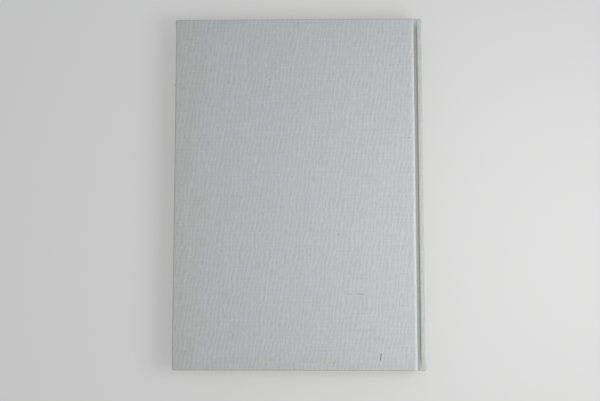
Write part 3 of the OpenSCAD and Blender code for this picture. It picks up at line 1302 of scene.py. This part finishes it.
@dataclass
class Pastedown(Piece):
    """The half of an endpaper that is pasted to a board, with its strip through the joint."""

    sizes: Sizes
    side: Side
    finish: bpy.types.Material
    thickness: float = 0.15 * MM
    sink: float = 0.3 * MM
    sink_over_gauze: float = 0.12 * MM
    slope: float = 1.4 * MM
    slope_steps: int = 6
    rows: int = 36
    columns: int = 28
    joint_columns: int = 14

    def build(self) -> bpy.types.Object:
        """Lay the paper over the turn-ins and press it down between them.

        Returns:
            The finished piece.
        """
        s = self.sizes
        low, high = s.pastedown
        name = f"{self.side.word}_pasted_endpaper"
        piece = sheet_plane(name, low, Vector((s.shoulder, high.y, 0)), s.cover[0].z)
        window_x, window_y = s.cover[0].x + s.turn_in, s.cover[1].y - s.turn_in
        with editing(piece):
            cut("y", *stations(low.y, high.y, self.rows)[1:-1])
            cut("x", *stations(low.x, s.edge, self.columns)[1:])
            cut("x", *stations(s.edge, s.shoulder, self.joint_columns)[1:-1])
            for step in stations(0, self.slope, self.slope_steps):
                cut("x", window_x + step, s.flange[0].x - step)
                cut("y", step - window_y, window_y - step)
        flat_map(piece)
        for vertex in piece.data.vertices:
            vertex.co.z += self._pressed(vertex.co, window_x, window_y)
        thicken(piece, self.thickness)
        if self.side is Side.FRONT:
            turn_over(piece, s.middle)
        surface(piece, self.finish)
        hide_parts(f"{self.side.word}_pastedown")
        bend_in_joint(piece)
        return piece

    def _pressed(self, co: Vector, window_x: float, window_y: float) -> float:
        """Give how far the paper sinks towards the board at a point."""
        s = self.sizes
        inside = ease(co.x, window_x, window_x + self.slope) * ease(window_y - abs(co.y), 0, self.slope)
        over_gauze = ease(co.x, s.flange[0].x - self.slope, s.flange[0].x)
        past_board = ease(co.x, s.edge - self.slope, s.edge)
        deep = self.sink + (self.sink_over_gauze - self.sink) * over_gauze
        return inside * deep * (1 - past_board)


@dataclass
class Flyleaf(Piece):
    """The free half of an endpaper, lying on the leaves and folded up at the shoulder."""

    sizes: Sizes
    side: Side
    finish: bpy.types.Material
    thickness: float = 0.15 * MM
    fold: float = 1.2 * MM
    lift: float = 0.03 * MM
    ripple_scale: float = 25.0
    rows: int = 28
    columns: int = 22
    fold_columns: int = 8

    def build(self) -> bpy.types.Object:
        """Lay the leaf and turn its fold up to the pasted half.

        Returns:
            The finished piece, on the book's block.
        """
        s = self.sizes
        low, high = s.flyleaf
        base = low.z + self.thickness + self.lift
        start = high.x - self.fold
        piece = sheet_plane(f"{self.side.word}_flyleaf_sheet", low, high, base)
        with editing(piece):
            cut("y", *stations(low.y, high.y, self.rows)[1:-1])
            cut("x", *stations(low.x, start, self.columns)[1:])
            cut("x", *stations(start, high.x, self.fold_columns)[1:-1])
        flat_map(piece)
        up = s.pastedown[0].z + self.thickness - base
        for vertex in piece.data.vertices:
            co = vertex.co
            ripple = Vector((co.x * self.ripple_scale, co.y * self.ripple_scale, self.side.value))
            co.z += self.lift * noise.noise(ripple)
            co.z += up * ease(co.x, start, high.x) ** 2
        thicken(piece, self.thickness)
        if self.side is Side.FRONT:
            turn_over(piece, s.middle)
        surface(piece, self.finish)
        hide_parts(f"{self.side.word}_flyleaf")
        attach(piece, "book_block")
        return piece


@dataclass
class Leaves(Piece):
    """The sewn sections of leaves, each leaf a step of its own at the trimmed edges."""

    sizes: Sizes
    finish: bpy.types.Material
    sections: int = 12
    leaves_each: int = 8
    jitter: float = 0.05 * MM
    gap_share: float = 0.3
    gap_depth: float = 0.035 * MM
    fold_depth: float = 0.45 * MM
    seeds: Span = (7.31, 5.17)

    def build(self) -> bpy.types.Object:
        """Stack the leaves from the lowest up.

        Returns:
            The finished piece, on the book's block.
        """
        low, high = self.sizes.leaves
        piece = box_block("sewn_leaves", low.copy(), high.copy())
        count = self.sections * self.leaves_each
        pitch = (high.z - low.z) / count
        gap = pitch * self.gap_share
        with editing(piece):
            for i in range(1, count):
                cut("z", low.z + i * pitch - gap / 2, low.z + i * pitch + gap / 2)
        for vertex in piece.data.vertices:
            self._trim(vertex.co, pitch, gap)
        surface(piece, self.finish, 20.0)
        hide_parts("text_block")
        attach(piece, "book_block")
        return piece

    def _trim(self, co: Vector, pitch: float, gap: float) -> None:
        """Move one point of the stack to where its leaf's edge is."""
        low, high = self.sizes.leaves
        level = (co.z - low.z) / pitch
        leaf = math.floor(level)
        back = co.x > (low.x + high.x) / 2
        end = 1 if co.y > (low.y + high.y) / 2 else -1
        across = noise.noise(Vector((leaf * self.seeds[0], 0.5, 1 if back else -1)))
        along = noise.noise(Vector((leaf * self.seeds[1], end, 0.5)))
        outermost = at([co], z=low.z) or at([co], z=high.z)
        in_gap = abs(level - round(level)) * pitch < gap
        groove = self.gap_depth if in_gap and not outermost else 0.0
        if back:
            share = (level / self.leaves_each) % 1.0
            co.x -= self.fold_depth * (2 * abs(share - 0.5)) ** 3
        else:
            co.x += self.jitter * abs(across) + groove
        co.y -= end * (self.jitter * abs(along) + groove)


@dataclass
class Band(Piece):
    """A head or tail band: a core wound with thread in two colours, on a woven tape."""

    sizes: Sizes
    end: int
    light: bpy.types.Material
    dark: bpy.types.Material
    tape: bpy.types.Material
    radius: float = 0.5 * MM
    thread: float = 0.2 * MM
    spacing: float = 1.9
    slant: float = 7.0
    run: int = 3
    tape_depth: float = 8 * MM
    tape_thickness: float = 0.3 * MM
    tape_inset: float = 0.3 * MM

    def build(self) -> bpy.types.Object:
        """Wind the core and hang the tape under it.

        Returns:
            The finished piece, on the book's block.
        """
        name = "head_band" if self.end > 0 else "tail_band"
        y = self.end * (self.sizes.head_band[1].y - self.radius - self.thread)
        rings = self._wind(y)
        tape = self._hang_tape(y)
        for part in (*rings, tape):
            part.select_set(True)
        bpy.context.view_layer.objects.active = rings[0]
        bpy.ops.object.join()
        piece = bpy.context.object
        piece.name = f"{name}_wound"
        bpy.ops.object.transform_apply(location=True, rotation=True, scale=True)
        smooth(piece)
        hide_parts(name)
        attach(piece, "book_block")
        return piece

    def _wind(self, y: float) -> list[bpy.types.Object]:
        """Lay slanted turns of thread round the core, a few of each colour in turn."""
        low, high = self.sizes.head_band
        turns = round((high.z - low.z) / (self.spacing * self.thread))
        pitch = (high.z - low.z - 2 * self.thread) / (turns - 1)
        bpy.ops.object.select_all(action="DESELECT")
        rings = []
        for i in range(turns):
            bpy.ops.mesh.primitive_torus_add(
                location=(high.x - self.radius - self.thread, y, low.z + self.thread + i * pitch),
                rotation=(math.radians(self.slant), 0, 0), major_radius=self.radius,
                minor_radius=self.thread, major_segments=18, minor_segments=8)
            self._give_finish(bpy.context.object, (i // self.run) % 2)
            rings.append(bpy.context.object)
        return rings

    def _hang_tape(self, y: float) -> bpy.types.Object:
        """Hang the tape from the core, on the backs of the leaves."""
        low, high = self.sizes.head_band
        front = self.sizes.shoulder
        far = Vector((front + self.tape_thickness, self.tape_depth, high.z - self.tape_inset))
        tape = box_block("tape", Vector((front, 0, low.z + self.tape_inset)), far)
        with editing(tape):
            cut("y", self.tape_depth / 2)
        for vertex in tape.data.vertices:
            vertex.co.y = y - self.end * vertex.co.y
        if self.end > 0:
            tape.data.flip_normals()
        self._give_finish(tape, 2)
        flat_map(tape)
        return tape

    def _give_finish(self, part: bpy.types.Object, index: int) -> None:
        """Give a part all three finishes, so that they stay apart when joined, and show one of them."""
        for finish in (self.light, self.dark, self.tape):
            part.data.materials.append(finish)
        for face in part.data.polygons:
            face.material_index = index


def speck(x: float, y: float, radius: float, strength: float, soft: float = 0.35) -> Stroke:
    """Give a round speck at a place on the back cover, in millimetres."""
    return Stroke((x * MM, y * MM), (x * MM + NEAR, y * MM), radius * MM, soft * MM, strength)


def scuff(start: Span, end: Span, half: float, strength: float, soft: float = 0.3) -> Stroke:
    """Give a straight scuff between two places on the back cover, in millimetres."""
    return Stroke((start[0] * MM, start[1] * MM), (end[0] * MM, end[1] * MM), half * MM, soft * MM,
                  strength)


COVER_MARKS: tuple[Stroke, ...] = (
    scuff((49.7, -98.1), (49.3, -101.8), 0.2, 0.85),
    scuff((28.7, -62.4), (32.2, -62.4), 0.28, 0.20),
    scuff((34.9, -62.4), (39.0, -62.5), 0.30, 0.32),
    scuff((62.8, 33.3), (67.8, 33.3), 0.25, 0.12),
    speck(67.9, 33.3, 0.3, 0.36),
    speck(-43.5, 68.1, 0.55, 0.34),
    speck(-18.0, 69.9, 0.35, 0.30),
    speck(24.4, -26.4, 0.35, 0.45),
    speck(-69.2, 31.8, 0.35, 0.28),
    speck(41.1, 102.6, 0.35, 0.20),
    speck(-47.3, 79.5, 0.35, 0.26),
    speck(-57.4, 83.3, 0.3, 0.20),
    speck(-43.0, 76.9, 0.3, 0.20),
    speck(16.2, -94.4, 0.3, 0.20),
)


@dataclass
class Studio:
    """The camera, the pale floor and the soft light from the right."""

    place: Triple = (7.73 * MM, -42.58 * MM, 470.03 * MM)
    turn: Triple = (4.674, 0.8638, -0.0088)
    width_of_view: float = 44.0
    sensor: float = 36.0
    floor_size: float = 6.0
    floor_colour: Colour = (0.34, 0.34, 0.335)
    cloud_scale: float = 3.0
    cloud_shade: float = 0.985
    floor_glow: Colour = (0.31, 0.31, 0.305)
    lamp_place: Triple = (0.22, -0.05, 0.29)
    lamp_size: float = 0.2
    lamp_power: float = 0.84
    sky_colour: Colour = (0.532, 0.5488, 0.56)
    backdrop: Colour = (0.502, 0.508, 0.504)

    def build(self) -> None:
        """Set up everything that isn't the book."""
        self._camera()
        self._floor()
        self._light()

    def _camera(self) -> None:
        """Add the camera where the photograph was taken from."""
        data = bpy.data.cameras.new("camera")
        data.sensor_width = self.sensor
        data.lens = data.sensor_width / 2 / math.tan(math.radians(self.width_of_view) / 2)
        camera = bpy.data.objects.new("camera", data)
        camera.location = self.place
        camera.rotation_euler = Euler([math.radians(a) for a in self.turn])
        bpy.context.scene.collection.objects.link(camera)
        bpy.context.scene.camera = camera

    def _floor(self) -> None:
        """Lay a wide pale floor under the book."""
        bpy.ops.object.select_all(action="DESELECT")
        bpy.ops.mesh.primitive_plane_add(size=self.floor_size, location=(0, 0, 0))
        floor = bpy.context.object
        floor.name = "floor"
        material, g, shader = new_material("pale_floor", roughness=0.9, specular=0.1)
        cloud = g.noise(object_place(g), self.cloud_scale)
        dark = shaded(self.floor_colour, self.cloud_shade)
        g.link(g.mix(cloud, self.floor_colour, dark), shader.inputs["Base Color"])
        seen = g.add("ShaderNodeLightPath").outputs["Is Camera Ray"]
        g.link((*self.floor_glow, 1), shader.inputs["Emission Color"])
        g.link(seen, shader.inputs["Emission Strength"])
        floor.data.materials.append(material)

    def _light(self) -> None:
        """Hang a broad lamp to the right, and a sky that the camera sees in the floor's tone."""
        data = bpy.data.lights.new("window", "AREA")
        data.shape = "SQUARE"
        data.size = self.lamp_size
        data.energy = self.lamp_power
        lamp = bpy.data.objects.new("window", data)
        lamp.location = self.lamp_place
        lamp.rotation_euler = (-lamp.location).to_track_quat("-Z", "Y").to_euler()
        bpy.context.scene.collection.objects.link(lamp)
        world = bpy.data.worlds.new("sky")
        world.use_nodes = True
        g = Graph(world.node_tree)
        seen = g.add("ShaderNodeLightPath").outputs["Is Camera Ray"]
        background = world.node_tree.nodes["Background"]
        g.link(g.mix(seen, self.sky_colour, self.backdrop), background.inputs["Color"])
        bpy.context.scene.world = world


def dress(node: bpy.types.Object, material: bpy.types.Material) -> None:
    """Give a frame node a material all over."""
    node.data.materials.clear()
    node.data.materials.append(material)


def report(piece: bpy.types.Object) -> None:
    """Log a finished piece and its count of faces."""
    LOG.info("built %s with %d faces", piece.name, len(piece.data.polygons))


def dress_kept_nodes() -> None:
    """Give the boards and the lining, which stay as the frame has them, their finishes."""
    board = Paper("grey_board", colour=(0.40, 0.36, 0.30), deep=(0.28, 0.25, 0.20), grain=0.6).build()
    kraft = Paper("kraft_lining", colour=(0.52, 0.38, 0.22), deep=(0.40, 0.28, 0.15)).build()
    for name in ("back_board", "front_board", "spine_board"):
        dress(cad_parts[name], board)
    dress(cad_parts["spine_lining"], kraft)


def list_pieces(sizes: Sizes) -> list[Piece]:
    """Make the new pieces' finishes, and list the pieces in the order in which they are built."""
    cloth = BookCloth("book_cloth", strokes=COVER_MARKS).build(sizes)
    endpaper = EndPaper("endpaper", colour=(0.62, 0.60, 0.545), deep=(0.57, 0.55, 0.49),
                        fore=sizes.pastedown[0].x, end=sizes.pastedown[1].y).build()
    gauze = WovenTape("gauze", colour=(0.62, 0.60, 0.53), pitch=0.8 * MM).build()
    tape = WovenTape("band_tape", colour=(0.70, 0.68, 0.60), pitch=0.4 * MM).build()
    pale = WoundThread("pale_thread", colour=(0.72, 0.70, 0.64)).build()
    grey = WoundThread("grey_thread", colour=(0.20, 0.22, 0.25)).build()
    loose = WoundThread("loose_thread", colour=(0.60, 0.62, 0.64)).build()
    pieces: list[Piece] = [Leaves(sizes, LeafEdges().build())]
    for side in Side:
        pieces += [CoverCloth(sizes, side, cloth), Gauze(sizes, side, gauze),
                   Pastedown(sizes, side, endpaper), Flyleaf(sizes, side, endpaper)]
    pieces += [Band(sizes, end, pale, grey, tape) for end in (1, -1)]
    pieces.append(LooseThread(sizes, loose))
    return pieces


def main() -> None:
    """Build the stage and the book, in order."""
    logging.basicConfig(level=logging.INFO, format="%(message)s")
    bpy.context.scene.view_settings.view_transform = "Standard"
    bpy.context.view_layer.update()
    Studio().build()
    build_groups()
    dress_kept_nodes()
    for piece in list_pieces(Sizes()):
        report(piece.build())
    bpy.context.view_layer.update()


if __name__ == "__main__":
    main()
